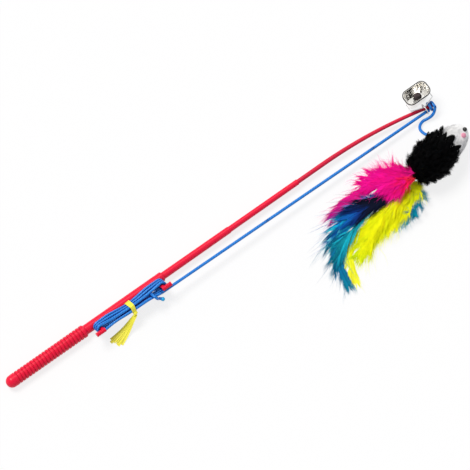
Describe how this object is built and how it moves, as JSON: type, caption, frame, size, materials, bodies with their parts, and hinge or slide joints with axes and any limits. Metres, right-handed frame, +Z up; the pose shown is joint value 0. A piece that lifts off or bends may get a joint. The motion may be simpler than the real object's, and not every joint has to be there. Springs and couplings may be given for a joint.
{
  "type": "cat teaser wand",
  "caption": "Telescopic wand with a ribbed grip and cord cleats, a wound elastic cord, a bell at the tip and a furry mouse with feathers on the cord's end.",
  "frame": {"origin": "middle of the ribbed grip, on the wand's axis", "axes": "+X along the wand from butt to tip, +Z up from the table that it lies on"},
  "size_m": [0.4762, 0.1203, 0.034],
  "materials": {
    "red_plastic": "gloss",
    "elastic_cord": "satin",
    "raffia": "satin",
    "nickel": "polished",
    "steel_wire": "satin",
    "dark_iron": "satin",
    "stuffing": "matte",
    "black_fur": "matte",
    "white_fur": "matte",
    "black_bead": "gloss",
    "pink_felt": "matte",
    "thread": "matte",
    "pink_feather": "matte",
    "yellow_feather": "matte",
    "teal_feather": "matte",
    "navy_feather": "matte"
  },
  "bodies": {
    "handle": {"handle": "red_plastic", "butt_cap": "red_plastic", "cord_hank": "elastic_cord", "cord_stub": "elastic_cord", "cord_run_lower": "elastic_cord", "tie_band": "raffia", "tie_tails": "raffia"},
    "rod_lower": {"rod_section_lower": "red_plastic", "cord_run_middle": "elastic_cord"},
    "rod_middle": {"rod_section_middle": "red_plastic", "cord_run_tip": "elastic_cord"},
    "rod_tip": {"rod_tip": "red_plastic", "cord_tip_wrap": "elastic_cord", "bell_ring": "steel_wire"},
    "bail": {"bell_bail": "steel_wire"},
    "bell": {"bell_shell": "nickel", "clapper_staple": "steel_wire"},
    "clapper": {"clapper": "dark_iron"},
    "lure": {"cord_drop": "elastic_cord", "mouse_core": "stuffing", "mouse_body": "black_fur", "mouse_head": "white_fur", "mouse_eyes": "black_bead", "mouse_nose": "pink_felt", "tail_binding": "thread", "feather_teal_fringe": "teal_feather", "feather_yellow_long": "yellow_feather", "feather_yellow_marabou": "yellow_feather", "feather_pink_flat": "pink_feather", "feather_teal_long": "teal_feather", "feather_navy": "navy_feather", "feather_pink_marabou": "pink_feather"}
  },
  "joints": [
    {"name": "lower_slide", "type": "slide", "parent": "handle", "child": "rod_lower", "axis": [1, 0, 0], "range_m": [-0.066, 0], "deforming": ["cord_run_lower"]},
    {"name": "middle_slide", "type": "slide", "parent": "rod_lower", "child": "rod_middle", "axis": [1, 0, 0], "range_m": [-0.07, 0], "deforming": ["cord_run_middle"]},
    {"name": "tip_slide", "type": "slide", "parent": "rod_middle", "child": "rod_tip", "axis": [1, 0, 0], "range_m": [-0.026, 0], "deforming": ["cord_run_tip"]},
    {"name": "bail_swing", "type": "hinge", "parent": "rod_tip", "child": "bail", "pos_m": [0.4104, -0.01179, 0.0049], "axis": [1, 0, 0], "range_deg": [-15, 100]},
    {"name": "bell_swing", "type": "hinge", "parent": "bail", "child": "bell", "pos_m": [0.4104, 0.00031, 0.0049], "axis": [1, 0, 0], "range_deg": [-10, 25]},
    {"name": "clapper_swing", "type": "hinge", "parent": "bell", "child": "clapper", "pos_m": [0.4104, 0.00031, -0.0019], "axis": [1, 0, 0], "range_deg": [-18, 0]},
    {"name": "lure_swing", "type": "hinge", "parent": "rod_tip", "child": "lure", "pos_m": [0.4186, -0.017, 0.0034], "axis": [0, 0, 1], "range_deg": [-4, 80], "deforming": ["cord_drop"]}
  ]
}
